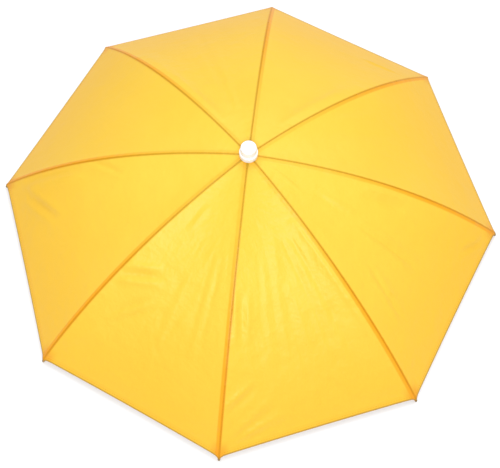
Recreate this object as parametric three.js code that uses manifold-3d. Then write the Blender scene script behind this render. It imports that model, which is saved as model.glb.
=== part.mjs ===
// An umbrella hat: an eight-gored cloth canopy stretched over bent steel ribs, with a white cap on
// top and an elastic headband carried on wire legs underneath. Lengths are in millimetres, +Z is up.
// The open hat stands on its eight rib tips: the surface that it stands on is z = 0, and Z is its axis.
import * as THREE from "three";
import { mergeVertices } from "three/addons/utils/BufferGeometryUtils.js";
import Module from "manifold-3d";

const wasm = await Module();
wasm.setup();

// Canopy
const ribCount = 8;
const tipReach = 300; // from the axis to the outer ends of the tips
const rise = 142.5; // how far the seam lines climb from the tips to the middle
const crownSlope = 0.153; // share of the rise lost evenly on the way from the middle to the tips
const bow = 0.722; // share lost as the square of the way out; what is left goes as its fourth power
const clothThickness = 1;
const seamGap = 0.3; // between the edges of two neighbouring gores
const hemScallop = 2; // how far the middle of a hem is drawn in from a straight line
const tipShow = 3; // how far the tips reach out past the corners of the cloth
const seatGap = 0.3; // clearance where one piece sits on or in another
const slack = 5; // how far the middle of a slack gore is drawn in below a line from rib to rib

// How slack each gore is, as a share of that.
const gores = [
  { name: "gore_1", slackShare: 0.8 },
  { name: "gore_2", slackShare: 0.7 },
  { name: "gore_3", slackShare: 0.8 },
  { name: "gore_4", slackShare: 0.7 },
  { name: "gore_5", slackShare: 0.9 },
  { name: "gore_6", slackShare: 1.0 },
  { name: "gore_7", slackShare: 1.1 },
  { name: "gore_8", slackShare: 0.9 },
];

// Ribs and their tips
const ribDiameter = 2.2;
const tipWall = 0.5; // wall of a tip round its rib end
const tipSocketDepth = 6;
const noseDiameter = 3; // of a tip's rounded end
const footCut = 0.3; // depth of the small flat that each tip stands on
const tipRamp = 48; // length over which a rib drops away from the cloth to make room for its tip

// Cap, hub, shaft and runner
const capTopDiameter = 17;
const capSkirtDiameter = 20;
const capHeight = 17;
const capSkirtHeight = 7.5;
const capShoulder = 1.6; // radius of the rounded edge round the cap's flat top
const capRoof = 3;
const stubDiameter = 11; // of the hub's stub, which goes up through the cloth into the cap
const hubDiameter = 28;
const hubThickness = 9;
const hubChamfer = 1.5;
const ribStart = 8; // from the axis to the ribs' inner ends, in the slots of the hub
const shaftDiameter = 8;
const shaftSocketDepth = 3;
const shaftStopDiameter = 15;
const shaftStopThickness = 3;
const runnerDiameter = 24;
const runnerHeight = 9;
const runnerDrop = 8; // from the hub's underside to the runner's top

// Stretchers, clips and legs
const wireDiameter = 2;
const wireGrip = 3.5; // length of wire held inside a clip or the runner
const clipReach = 92; // how far out along the canopy the clips sit on the ribs
const clipLength = 14;
const clipWidth = 5.8;
const clipDepth = 8.2; // below the middle of the rib
const stretcherSeat = 4.6; // below the middle of the rib
const legInset = 4; // from the middle of a clip out to its leg

// Headband
const bandDiameter = 168; // inside, unstretched
const bandHeight = 30;
const bandWall = 2;
const bandClear = 6; // from the standing surface up to the band's lower edge
const sleeveWall = 1.1;
const sleeveDepth = 20; // how far down its sleeve a leg reaches
const kneeRise = 14; // from the band's upper edge up to the bend in a leg
const kneeLength = 6; // of the bend, to either side

// Fineness of the faceted surfaces
const wireSides = 8;
const roundSides = 24;
const bandSides = 48;
const shoulderSteps = 3;
const noseSteps = 3;
const goreRows = 16;
const goreColumns = 6;
const ribSteps = 17;
const legSteps = 7;

const halfAngle = Math.PI / ribCount;
const ribRadius = ribDiameter / 2;
const tipRadius = ribRadius + seatGap + tipWall;
const noseRadius = noseDiameter / 2;
const wireRadius = wireDiameter / 2;
const stubRadius = stubDiameter / 2;
const hubRadius = hubDiameter / 2;
const shaftRadius = shaftDiameter / 2;
const runnerRadius = runnerDiameter / 2;
const bandInside = bandDiameter / 2;
const bandOutside = bandInside + bandWall;
const overcut = 2; // how far a cutter runs out past the face that it opens

const materials = {
  cloth: new THREE.MeshStandardMaterial({ color: 0xfdd04f, roughness: 0.55, metalness: 0 }),
  plastic: new THREE.MeshStandardMaterial({ color: 0xf6f3ee, roughness: 0.35, metalness: 0 }),
  steel: new THREE.MeshStandardMaterial({ color: 0xa9adb0, roughness: 0.3, metalness: 1 }),
  elastic: new THREE.MeshStandardMaterial({ color: 0xf1eee6, roughness: 0.85, metalness: 0 }),
};

// The seam line over a rib: its height over the tips' level at a radius, and how steeply it falls.
function seamShape(radius) {
  const share = radius / tipReach;
  const tipBend = 1 - crownSlope - bow;
  return {
    height: rise * (1 - crownSlope * share - bow * share ** 2 - tipBend * share ** 4),
    fall: (rise / tipReach) * (crownSlope + 2 * bow * share + 4 * tipBend * share ** 3),
  };
}

// Cosine of the angle between a gore and the ridge that it makes with its neighbour over a rib.
function ridgeCosine(fall) {
  const ribTilt = Math.atan(fall);
  const goreTilt = Math.atan(fall / Math.cos(halfAngle));
  const across = Math.sin(goreTilt) * Math.cos(halfAngle) * Math.sin(ribTilt);
  return across + Math.cos(goreTilt) * Math.cos(ribTilt);
}

// A point of a rib's middle line in the rib's own plane, x outwards and y up, below the seam line at
// that radius. The rib hangs under the cloth by its own radius, and near its end by its tip's radius.
function underSeam(radius) {
  const { height, fall } = seamShape(radius);
  const tilt = Math.atan(fall);
  const ramp = THREE.MathUtils.smoothstep(radius, tipReach - tipRamp, tipReach);
  const thickness = THREE.MathUtils.lerp(ribRadius, tipRadius, ramp);
  const drop = (clothThickness + seatGap + thickness) / ridgeCosine(fall);
  return new THREE.Vector2(radius - drop * Math.sin(tilt), height - drop * Math.cos(tilt));
}

// The tips' noses stand on z = 0, and that sets how high everything else is.
const cornerReach = tipReach - tipShow;
const ribEndTilt = Math.atan(seamShape(cornerReach).fall);
const ribEnd = underSeam(cornerReach);
const noseLength = (tipReach - noseRadius - ribEnd.x) / Math.cos(ribEndTilt);
const seamFoot = noseRadius - footCut - (ribEnd.y - noseLength * Math.sin(ribEndTilt));

const seamHeight = (radius) => seamFoot + seamShape(radius).height;
const ribPoint = (radius) => underSeam(radius).add(new THREE.Vector2(0, seamFoot));

// How far below a straight line from rib to rib a gore lies, from -1 to 1 across it.
const sagAt = (share, radius, side) =>
  slack * share * (1 - side ** 2) * Math.sin((Math.PI * radius) / tipReach);
const slackest = Math.max(...gores.map(({ slackShare }) => slackShare));

// Heights of the pieces on the axis.
const holeReach = (stubRadius + seatGap) / Math.cos(halfAngle);
const capFoot = seamHeight(holeReach) + seatGap;
const capTop = capFoot + capHeight;
const stubTop = capTop - capRoof - seatGap;
const hubCorner = hubRadius / Math.cos(halfAngle);
const hubTop = seamHeight(hubCorner) - clothThickness - sagAt(slackest, hubCorner, 0) - seatGap;
const hubFoot = hubTop - hubThickness;
const runnerTop = hubFoot - runnerDrop;
const runnerFoot = runnerTop - runnerHeight;
const shaftFoot = runnerFoot - seatGap - shaftStopThickness;
const bandTop = bandClear + bandHeight;

// A point of a clip: how far out along the rib from the clip's middle, and how far below the rib.
const clipTilt = Math.atan(seamShape(clipReach).fall);
const clipMiddle = ribPoint(clipReach);
function inClip(out, below) {
  const x = out * Math.cos(clipTilt) - below * Math.sin(clipTilt);
  const y = -out * Math.sin(clipTilt) - below * Math.cos(clipTilt);
  return new THREE.Vector2(x, y).add(clipMiddle);
}

// The clips reach up beside their ribs as far as the cloth, which falls away to either side, lets them.
const clothFall = Math.sin(clipTilt) * Math.tan(halfAngle);
const sagFall = (2 * sagAt(slackest, clipReach, 0)) / (clipReach * Math.sin(halfAngle));
const clipLip = ribRadius - (clothFall + sagFall) * (clipWidth / 2);

// The middle lines of a stretcher and of a leg in the rib's plane, from end to end.
const stretcherLine = [
  new THREE.Vector2(runnerRadius - wireGrip, (runnerTop + runnerFoot) / 2),
  inClip(wireGrip - clipLength / 2, stretcherSeat),
];
const legReach = bandOutside + wireRadius;
const legKnee = new THREE.Vector2(legReach, bandTop + kneeRise);
const legLine = [
  new THREE.Vector2(legReach, bandTop - sleeveDepth),
  legKnee,
  inClip(legInset, clipDepth - wireGrip),
];

// A closed mesh as a solid, and a solid as a mesh again.
function solidOf(geometry) {
  const bare = new THREE.BufferGeometry();
  bare.setAttribute("position", geometry.getAttribute("position"));
  bare.setIndex(geometry.index);
  const merged = mergeVertices(bare, 1e-4);
  const vertProperties = new Float32Array(merged.attributes.position.array);
  const triVerts = new Uint32Array(merged.index.array);
  return new wasm.Manifold(new wasm.Mesh({ numProp: 3, vertProperties, triVerts }));
}

function meshOf(solid) {
  const { vertProperties, triVerts } = solid.getMesh();
  const geometry = new THREE.BufferGeometry();
  geometry.setAttribute("position", new THREE.BufferAttribute(vertProperties, 3));
  geometry.setIndex(new THREE.BufferAttribute(triVerts, 1));
  geometry.computeVertexNormals();
  return geometry;
}

function joined(geometries) {
  return meshOf(geometries.map(solidOf).reduce((whole, piece) => whole.add(piece)));
}

function cut(geometry, cutters) {
  return meshOf(cutters.map(solidOf).reduce((whole, cutter) => whole.subtract(cutter), solidOf(geometry)));
}

// A profile of [radius, height] corners turned about Z, listed so that the solid is on its left.
function turned(profile, sides) {
  const corners = profile.map(([radius, height]) => new THREE.Vector2(radius, height));
  return new THREE.LatheGeometry(corners, sides).rotateX(Math.PI / 2);
}

// A round wire along a path.
function wire(path, radius, steps) {
  const section = new THREE.Shape();
  for (let side = 0; side < wireSides; side++) {
    const angle = (2 * Math.PI * side) / wireSides;
    const corner = [radius * Math.cos(angle), radius * Math.sin(angle)];
    if (side === 0) section.moveTo(...corner);
    else section.lineTo(...corner);
  }
  section.closePath();
  return new THREE.ExtrudeGeometry(section, { steps, extrudePath: path });
}

const inRibPlane = (point) => new THREE.Vector3(point.x, 0, point.y);
const straight = (from, to) => new THREE.LineCurve3(inRibPlane(from), inRibPlane(to));

// The same line made longer by an amount at each end.
function lengthened([from, to], before, after) {
  const along = to.clone().sub(from).normalize();
  return [from.clone().addScaledVector(along, -before), to.clone().addScaledVector(along, after)];
}

// Copies of a geometry at each rib.
function atEachRib(geometry) {
  return Array.from({ length: ribCount }, (_, rib) => geometry.clone().rotateZ(2 * halfAngle * rib));
}

function goreCloth(slackShare) {
  const geometry = new THREE.BoxGeometry(1, 2, 1, goreRows, goreColumns, 1).translate(0.5, 0, -0.5);
  const corners = geometry.attributes.position;
  for (let i = 0; i < corners.count; i++) {
    const side = corners.getY(i);
    const straightReach = THREE.MathUtils.lerp(holeReach, cornerReach, corners.getX(i));
    const scallop = hemScallop * (1 - side ** 2) * (straightReach / cornerReach) ** 4;
    const reach = straightReach - scallop;
    const tilt = Math.atan(seamShape(reach).fall / Math.cos(halfAngle));
    const depth = sagAt(slackShare, reach, side) - clothThickness * corners.getZ(i);
    const x = reach * Math.cos(halfAngle) - depth * Math.sin(tilt);
    const halfWidth = x * Math.tan(halfAngle) - seamGap / 2 / Math.cos(halfAngle);
    corners.setXYZ(i, x, side * halfWidth, seamHeight(reach) - depth * Math.cos(tilt));
  }
  return geometry.rotateZ(halfAngle);
}

// The rib's middle line as a curve, from its inner end in the hub to its outer end in the tip.
class RibLine extends THREE.Curve {
  getPoint(share, target = new THREE.Vector3()) {
    return target.copy(inRibPlane(ribPoint(THREE.MathUtils.lerp(ribStart, cornerReach, share))));
  }
}

// A tip is turned about its own axis, with its rib's end at height 0, and then laid along the rib.
function tipPiece() {
  const bore = ribRadius + seatGap;
  const profile = [[0, seatGap], [bore, seatGap], [bore, -tipSocketDepth], [tipRadius, -tipSocketDepth]];
  profile.push([tipRadius, seatGap + tipWall]);
  for (let step = 0; step <= noseSteps; step++) {
    const angle = (Math.PI / 2) * (step / noseSteps);
    const radius = step === noseSteps ? 0 : noseRadius * Math.cos(angle);
    profile.push([radius, noseLength + noseRadius * Math.sin(angle)]);
  }
  const laid = turned(profile, wireSides).rotateY(Math.PI / 2 + ribEndTilt);
  const end = inRibPlane(ribPoint(cornerReach));
  const ground = new THREE.BoxGeometry(tipReach, tipReach, tipReach).translate(tipReach, 0, -tipReach / 2);
  return cut(laid.translate(end.x, end.y, end.z), [ground]);
}

function capPiece() {
  const bore = stubRadius + seatGap;
  const skirt = capSkirtDiameter / 2;
  const barrel = capTopDiameter / 2;
  const ledge = skirt - barrel;
  const profile = [[0, capTop - capRoof], [bore, capTop - capRoof], [bore, capFoot], [skirt, capFoot]];
  profile.push([skirt, capFoot + capSkirtHeight - ledge], [barrel, capFoot + capSkirtHeight]);
  for (let step = 0; step <= shoulderSteps; step++) {
    const angle = (Math.PI / 2) * (step / shoulderSteps);
    const inset = capShoulder * (1 - Math.cos(angle));
    profile.push([barrel - inset, capTop - capShoulder * (1 - Math.sin(angle))]);
  }
  profile.push([0, capTop]);
  return turned(profile, roundSides);
}

function hubPiece() {
  const bore = shaftRadius + seatGap;
  const boreTop = hubFoot + shaftSocketDepth;
  const profile = [[0, boreTop], [bore, boreTop], [bore, hubFoot], [hubRadius - hubChamfer, hubFoot]];
  profile.push([hubRadius, hubFoot + hubChamfer], [hubRadius, hubTop], [stubRadius, hubTop]);
  profile.push([stubRadius, stubTop], [0, stubTop]);
  const slotFloor = ribPoint(hubRadius).y - ribRadius - seatGap;
  const slotLength = hubRadius - ribStart + seatGap + overcut;
  const slotHeight = hubTop - slotFloor + overcut;
  const slot = new THREE.BoxGeometry(slotLength, ribDiameter + 2 * seatGap, slotHeight);
  slot.translate(ribStart - seatGap + slotLength / 2, 0, slotFloor + slotHeight / 2);
  return cut(turned(profile, roundSides), atEachRib(slot));
}

function shaftPiece() {
  const stopTop = shaftFoot + shaftStopThickness;
  const top = hubFoot + shaftSocketDepth - seatGap;
  const stop = shaftStopDiameter / 2;
  const profile = [[0, shaftFoot], [stop, shaftFoot], [stop, stopTop], [shaftRadius, stopTop]];
  profile.push([shaftRadius, top], [0, top]);
  return turned(profile, roundSides);
}

function runnerPiece() {
  const bore = shaftRadius + seatGap;
  const foot = [bore, runnerFoot];
  const profile = [foot, [runnerRadius, runnerFoot], [runnerRadius, runnerTop], [bore, runnerTop], foot];
  const [from, to] = lengthened(stretcherLine, seatGap, 0);
  const socket = wire(straight(from, to), wireRadius + seatGap, 1);
  return cut(turned(profile, roundSides), atEachRib(socket));
}

function stretcherPiece() {
  return wire(straight(...stretcherLine), wireRadius, 1);
}

// A block hung on the rib, grooved for it, with blind holes for the stretcher and the leg.
function clipPiece() {
  const height = clipDepth + clipLip;
  const block = new THREE.BoxGeometry(clipLength, clipWidth, height);
  block.translate(0, 0, clipLip - height / 2).rotateY(clipTilt).translate(clipMiddle.x, 0, clipMiddle.y);
  const [, stretcherEnd] = lengthened(stretcherLine, 0, seatGap);
  const [, legTop] = lengthened([legKnee, legLine[2]], 0, seatGap);
  return cut(block, [
    wire(new RibLine(), ribRadius + seatGap, ribSteps),
    wire(straight(stretcherLine[0], stretcherEnd), wireRadius + seatGap, 1),
    wire(straight(legKnee, legTop), wireRadius + seatGap, 1),
  ]);
}

function legPiece() {
  const [foot, knee, top] = legLine;
  const below = knee.clone().add(new THREE.Vector2(0, -kneeLength));
  const above = knee.clone().addScaledVector(top.clone().sub(knee).normalize(), kneeLength);
  const path = new THREE.CurvePath();
  path.add(straight(foot, below));
  path.add(new THREE.QuadraticBezierCurve3(inRibPlane(below), inRibPlane(knee), inRibPlane(above)));
  path.add(straight(above, top));
  return wire(path, wireRadius, legSteps);
}

function headbandPiece() {
  const foot = [bandInside, bandClear];
  const profile = [foot, [bandOutside, bandClear], [bandOutside, bandTop], [bandInside, bandTop], foot];
  const bore = wireRadius + seatGap;
  const boreFoot = bandTop - sleeveDepth - seatGap;
  const sleeveFoot = boreFoot - sleeveWall;
  const sleeve = turned(
    [[0, sleeveFoot], [bore + sleeveWall, sleeveFoot], [bore + sleeveWall, bandTop], [0, bandTop]],
    wireSides,
  ).translate(legReach, 0, 0);
  const hole = turned(
    [[0, boreFoot], [bore, boreFoot], [bore, bandTop + overcut], [0, bandTop + overcut]],
    wireSides,
  ).translate(legReach, 0, 0);
  return cut(joined([turned(profile, bandSides), ...atEachRib(sleeve)]), atEachRib(hole));
}

const hat = new THREE.Group();

function place(name, geometry, material) {
  const mesh = new THREE.Mesh(geometry, material);
  mesh.name = name;
  hat.add(mesh);
  return mesh;
}

function placeAtEachRib(name, geometry, material) {
  for (let rib = 0; rib < ribCount; rib++) {
    place(`${name}_${rib + 1}`, geometry, material).rotation.z = 2 * halfAngle * rib;
  }
}

gores.forEach(({ name, slackShare }, rib) => {
  place(name, goreCloth(slackShare), materials.cloth).rotation.z = 2 * halfAngle * rib;
});
place("cap", capPiece(), materials.plastic);
place("top_hub", hubPiece(), materials.plastic);
place("shaft", shaftPiece(), materials.steel);
place("runner", runnerPiece(), materials.plastic);
placeAtEachRib("rib", wire(new RibLine(), ribRadius, ribSteps), materials.steel);
placeAtEachRib("tip", tipPiece(), materials.steel);
placeAtEachRib("stretcher", stretcherPiece(), materials.steel);
placeAtEachRib("clip", clipPiece(), materials.plastic);
placeAtEachRib("band_leg", legPiece(), materials.steel);
place("headband", headbandPiece(), materials.elastic);

export default hat;
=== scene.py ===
# The finish of an open umbrella hat: one continuous nylon canopy with its seams, hem and folds, the
# moulded cap and hub, the wire frame under them and the woven elastic headband. Lengths are in metres.
import math

import bmesh
import bpy
import numpy as np
from mathutils import Matrix, Vector


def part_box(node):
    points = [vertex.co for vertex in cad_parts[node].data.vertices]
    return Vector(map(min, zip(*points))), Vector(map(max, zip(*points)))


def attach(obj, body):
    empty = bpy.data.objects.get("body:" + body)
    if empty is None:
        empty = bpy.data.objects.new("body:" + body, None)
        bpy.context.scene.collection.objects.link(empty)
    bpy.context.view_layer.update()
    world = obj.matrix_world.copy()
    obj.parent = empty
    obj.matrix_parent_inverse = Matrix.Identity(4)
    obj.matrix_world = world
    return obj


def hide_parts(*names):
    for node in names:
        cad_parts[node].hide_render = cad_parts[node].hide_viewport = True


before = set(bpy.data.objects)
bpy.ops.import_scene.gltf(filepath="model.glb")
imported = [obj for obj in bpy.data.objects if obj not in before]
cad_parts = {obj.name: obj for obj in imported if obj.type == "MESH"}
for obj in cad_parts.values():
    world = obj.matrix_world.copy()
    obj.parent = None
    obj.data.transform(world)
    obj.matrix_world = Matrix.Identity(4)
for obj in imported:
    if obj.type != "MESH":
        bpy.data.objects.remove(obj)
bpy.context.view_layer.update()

MM = 0.001
BODY = "root"

# The frame's driving sizes
RIBS = 8
HALF_ANGLE = math.pi / RIBS
TIP_REACH = 300 * MM
RISE = 142.5 * MM
CROWN_SLOPE = 0.153
BOW = 0.722
TIP_SHOW = 3 * MM
HEM_SCALLOP = 0.7 * MM
SLACK = 5 * MM
SLACK_SHARES = (0.8, 0.7, 0.8, 0.7, 0.9, 1.0, 1.1, 0.9)
CAD_CLOTH = 1 * MM
SEAT_GAP = 0.3 * MM
RIB_RADIUS = 1.1 * MM
RIB_START = 8 * MM
TIP_WALL = 0.5 * MM
TIP_SOCKET = 6 * MM
TIP_RAMP = 48 * MM
NOSE_RADIUS = 1.5 * MM
WIRE_RADIUS = 1 * MM
WIRE_GRIP = 3.5 * MM
CLIP_REACH = 92 * MM
CLIP_LENGTH = 14 * MM
CLIP_DEPTH = 8.2 * MM
STRETCHER_SEAT = 4.6 * MM
LEG_INSET = 4 * MM
BAND_INSIDE = 84 * MM
BAND_WALL = 2 * MM
SLEEVE_DEPTH = 20 * MM
KNEE_RISE = 14 * MM
KNEE_LENGTH = 6 * MM
STUB_RADIUS = 5.5 * MM
CAP_ROOF = 3 * MM
HUB_THICKNESS = 9 * MM
SHAFT_RADIUS = 4 * MM

# The cloth and the elastic, whose meshes and materials share these sizes
CLOTH = 0.35 * MM
HEM_WIDTH = 6 * MM
ALLOWANCE = 4.6 * MM
WEAVE_PITCH = 0.5 * MM
ELASTIC_PITCH = 1.5 * MM
# The share that the streaks' noise is squeezed to along the cloth, so that they run outward
STREAK_SQUEEZE = 0.16

# Corners of a mesh that lie nearer than this are joined
MERGE = 0.001 * MM
WIRE_SIDES = 14

SHAFT_BORE = SHAFT_RADIUS + SEAT_GAP
BAND_OUTSIDE = BAND_INSIDE + BAND_WALL
CORNER_REACH = TIP_REACH - TIP_SHOW
HOLE_REACH = (STUB_RADIUS + SEAT_GAP) / math.cos(HALF_ANGLE)
TIP_RADIUS = RIB_RADIUS + SEAT_GAP + TIP_WALL
RIB_NAMES = [str(rib + 1) for rib in range(RIBS)]


def seam_shape(reach):
    """Height of the seam line over the tips' level at a reach from the axis, and how steeply it falls."""
    share = reach / TIP_REACH
    tip_bend = 1 - CROWN_SLOPE - BOW
    height = RISE * (1 - CROWN_SLOPE * share - BOW * share ** 2 - tip_bend * share ** 4)
    fall = RISE / TIP_REACH * (CROWN_SLOPE + 2 * BOW * share + 4 * tip_bend * share ** 3)
    return height, fall


# The cap stands on the seams, and that gives the height of the tips' level over the floor.
CAP_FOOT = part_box("cap")[0].z
SEAM_FOOT = CAP_FOOT - SEAT_GAP - seam_shape(HOLE_REACH)[0]
CAP_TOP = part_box("cap")[1].z
HUB_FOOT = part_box("top_hub")[0].z
HUB_TOP_EDGE = HUB_FOOT + HUB_THICKNESS
RUNNER_LOW, RUNNER_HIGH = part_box("runner")
SHAFT_LOW, SHAFT_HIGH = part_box("shaft")
BAND_LOW, BAND_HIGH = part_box("headband")[0].z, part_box("headband")[1].z


def smooth(value, low, high):
    """0 at a low value and 1 at a high one, with a soft step between; it falls where low is the greater."""
    share = np.clip((value - low) / (high - low), 0, 1)
    return share * share * (3 - 2 * share)


def under_seam(reach):
    """A point of a rib's middle line in the rib's plane, as (out, up)."""
    height, fall = seam_shape(reach)
    tilt = math.atan(fall)
    gore_tilt = math.atan(fall / math.cos(HALF_ANGLE))
    across = math.sin(gore_tilt) * math.cos(HALF_ANGLE) * math.sin(tilt)
    ridge = across + math.cos(gore_tilt) * math.cos(tilt)
    ramp = float(smooth(reach, TIP_REACH - TIP_RAMP, TIP_REACH))
    thickness = RIB_RADIUS + (TIP_RADIUS - RIB_RADIUS) * ramp
    drop = (CAD_CLOTH + SEAT_GAP + thickness) / ridge
    return Vector((reach - drop * math.sin(tilt), SEAM_FOOT + height - drop * math.cos(tilt)))


RIB_END = under_seam(CORNER_REACH)
RIB_END_TILT = math.atan(seam_shape(CORNER_REACH)[1])
NOSE_LENGTH = (TIP_REACH - NOSE_RADIUS - RIB_END.x) / math.cos(RIB_END_TILT)
CLIP_TILT = math.atan(seam_shape(CLIP_REACH)[1])


def in_clip(out, below):
    """A point of a clip, by how far out along the rib it is from the clip's middle, and how far below."""
    middle = under_seam(CLIP_REACH)
    x = out * math.cos(CLIP_TILT) - below * math.sin(CLIP_TILT)
    y = -out * math.sin(CLIP_TILT) - below * math.cos(CLIP_TILT)
    return middle + Vector((x, y))


def at_rib(rib, out, up, side=0.0):
    """A point given in a rib's plane, and to the left of it, in the row frame."""
    angle = 2 * HALF_ANGLE * rib
    x = out * math.cos(angle) - side * math.sin(angle)
    return Vector((x, out * math.sin(angle) + side * math.cos(angle), up))


# Node trees written as Python
def linear(colour):
    """A colour written as sRGB hex, as the linear colour that a socket takes."""
    parts = [int(colour[i:i + 2], 16) / 255 for i in (1, 3, 5)]
    return [p / 12.92 if p <= 0.04045 else ((p + 0.055) / 1.055) ** 2.4 for p in parts] + [1.0]


class Signal:
    """A socket's value. Arithmetic on it adds Math nodes to its tree."""

    def __init__(self, maker, socket):
        self.maker = maker
        self.socket = socket

    def maths(self, operation, *values):
        return self.maker.add("ShaderNodeMath", {"operation": operation}, dict(enumerate(values)))

    def __add__(self, other):
        return self.maths("ADD", self, other)

    def __rsub__(self, other):
        return self.maths("SUBTRACT", other, self)

    def __mul__(self, other):
        return self.maths("MULTIPLY", self, other)

    def least(self, other):
        return self.maths("MINIMUM", self, other)

    def most(self, other):
        return self.maths("MAXIMUM", self, other)

    def sine(self):
        return self.maths("SINE", self)

    def below(self, edge, soft):
        """1 where the value is under an edge and 0 over it, with a soft step between."""
        limits = {"From Min": edge - soft, "From Max": edge + soft, "To Min": 1.0, "To Max": 0.0}
        return self.maker.add("ShaderNodeMapRange", {"interpolation_type": "SMOOTHSTEP"},
                              {"Value": self, **limits})

    __radd__ = __add__


class NodeMaker:
    """Adds nodes to a shader or geometry tree."""

    def __init__(self, tree):
        self.tree = tree

    def add(self, kind, settings=None, values=None, output=0):
        """Adds a node with its settings and its inputs' values, and gives one of its outputs."""
        node = self.tree.nodes.new(kind)
        for key, value in (settings or {}).items():
            setattr(node, key, value)
        for key, value in (values or {}).items():
            self.feed(node.inputs[key], value)
        return Signal(self, node.outputs[output]) if len(node.outputs) else node

    def feed(self, socket, value):
        """Links a signal to a socket, or gives the socket a plain value."""
        if isinstance(value, Signal):
            self.tree.links.new(value.socket, socket)
        else:
            socket.default_value = value


# A Mix node's sockets when it mixes colours
MIX_FACTOR, MIX_FIRST, MIX_SECOND, MIX_RESULT = 0, 6, 7, 2


class Finish(NodeMaker):
    """A material with one Principled shader, made from named surface signals."""

    def __init__(self, name):
        self.material = bpy.data.materials.new(name)
        self.material.use_nodes = True
        super().__init__(self.material.node_tree)
        self.tree.nodes.clear()

    def place(self):
        """Object coordinates."""
        return self.add("ShaderNodeTexCoord", output="Object")

    def noise(self, scale, detail=3.0, roughness=0.5, where=None):
        values = {"Vector": where or self.place(), "Scale": scale, "Detail": detail, "Roughness": roughness}
        return self.add("ShaderNodeTexNoise", {"noise_dimensions": "3D"}, values, "Fac")

    def stretched(self, vector, factors):
        return self.add("ShaderNodeVectorMath", {"operation": "MULTIPLY"}, {0: vector, 1: factors})

    def parts(self, vector):
        """The X and Y of a vector."""
        node = self.tree.nodes.new("ShaderNodeSeparateXYZ")
        self.feed(node.inputs[0], vector)
        return Signal(self, node.outputs["X"]), Signal(self, node.outputs["Y"])

    def uv(self, name):
        return self.parts(self.add("ShaderNodeUVMap", {"uv_map": name}))

    def attribute(self, name):
        return self.add("ShaderNodeAttribute", {"attribute_name": name}, output="Fac")

    def mix(self, factor, first, second):
        """A blend of two colours, the first where the factor is 0."""
        values = {MIX_FACTOR: factor, MIX_FIRST: first, MIX_SECOND: second}
        return self.add("ShaderNodeMix", {"data_type": "RGBA"}, values, MIX_RESULT)

    def bump(self, height, distance, strength=1.0, normal=None):
        values = {"Height": height, "Distance": distance, "Strength": strength}
        if normal is not None:
            values["Normal"] = normal
        return self.add("ShaderNodeBump", None, values)

    def surface(self, **values):
        """The Principled shader; a name's underscores stand for the spaces in its socket's name."""
        named = {key.replace("_", " "): value for key, value in values.items()}
        return self.add("ShaderNodeBsdfPrincipled", None, named)

    def close(self, shader):
        self.add("ShaderNodeOutputMaterial", None, {"Surface": shader})
        return self.material


def woven(across, along, pitch):
    """A plain weave's height from two lengths over the cloth, with a thread every pitch."""
    turn = 2 * math.pi / pitch
    return (across * turn).sine() * 0.5 + (along * turn).sine() * 0.5


def nylon():
    """The canopy's cloth: thin and satin, darker where it is doubled, with painted shade in its seams'
    furrows, at its hem's edge, round the cap and towards its rim.
    """
    finish = Finish("satin_nylon")
    left, right = finish.uv("seam_distance")
    across, along = finish.uv("cloth")
    hem = finish.attribute("hem_distance")
    reach = finish.attribute("reach")
    creased = finish.attribute("creased")
    seam = left.least(right)
    # Painted shade: oranger from about 120 mm out towards the rim, where the cloth slopes away from the
    # light
    outer = 1.0 - reach.below(220 * MM, 100 * MM)
    lower_seam = 1.0 - reach.below(140 * MM, 90 * MM)
    allowance = right.below(ALLOWANCE, 0.9 * MM) * (0.35 + lower_seam * 0.65)
    # Painted shade along the furrow of each seam, deeper further out
    furrow_shade = seam.below(1.25 * MM, 0.9 * MM) * (0.7 + lower_seam * 0.3)
    hem_fold = hem.below(HEM_WIDTH, 0.5 * MM)
    # Painted shade along the hem's folded edge
    hem_edge_shade = hem.below(1.3 * MM, 0.8 * MM)
    # Painted shade on the cloth round the cap
    shade_round_cap = reach.below(15 * MM, 9 * MM)
    corner = hem.below(9 * MM, 7 * MM) * seam.below(8 * MM, 6 * MM)
    mottle = finish.noise(9.0, 3.0, 0.55)
    colour = finish.mix(mottle.below(0.5, 0.25) * 0.5, linear("#ffd94b"), linear("#ffd23f"))
    # The painted shade's colour in the seams' furrows: olive near the crown, orange further out
    furrow = finish.mix(lower_seam, linear("#bd9000"), linear("#e09200"))
    layers = (
        # Painted shade towards the rim
        (outer * 0.6, linear("#ffc42f")),
        (allowance * 0.9, linear("#f7a60c")),
        (hem_fold * 0.25, linear("#f3ae22")),
        # Painted shade round the cap, and the corners' own oranger layered cloth
        ((shade_round_cap * 0.35).most(corner * 0.7), linear("#f09c14")),
        # Painted shade in the seams' furrows
        (furrow_shade * 0.95, furrow),
        # Painted shade at the hem's edge
        (hem_edge_shade * 0.75, linear("#ad8417")),
    )
    for share, tint in layers:
        colour = finish.mix(share, colour, tint)
    weave = woven(across, along, WEAVE_PITCH)
    fibres = finish.noise(1400.0, 2.0)
    radial = finish.add("ShaderNodeCombineXYZ", None, {"X": across, "Y": along * STREAK_SQUEEZE, "Z": 0.0})
    streaks = finish.noise(150.0, 5.0, 0.62, radial)
    crumples = finish.noise(46.0, 5.0, 0.55)
    cloth = finish.bump(weave + fibres, 0.02 * MM, 0.3)
    rumpled = streaks * creased * 0.35 + crumples * (0.6 + creased)
    normal = finish.bump(rumpled, 2.2 * MM, 0.75, cloth)
    skin = finish.surface(
        Base_Color=colour, Roughness=0.4 + mottle * 0.1, Normal=normal, Specular_IOR_Level=0.35,
    )
    glow = finish.add("ShaderNodeBsdfTranslucent", None, {"Color": linear("#ffcb36"), "Normal": normal})
    thin = 0.17 - (allowance * 0.1).most(hem_fold * 0.06)
    return finish.close(finish.add("ShaderNodeMixShader", None, {0: thin, 1: skin, 2: glow}))


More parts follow.
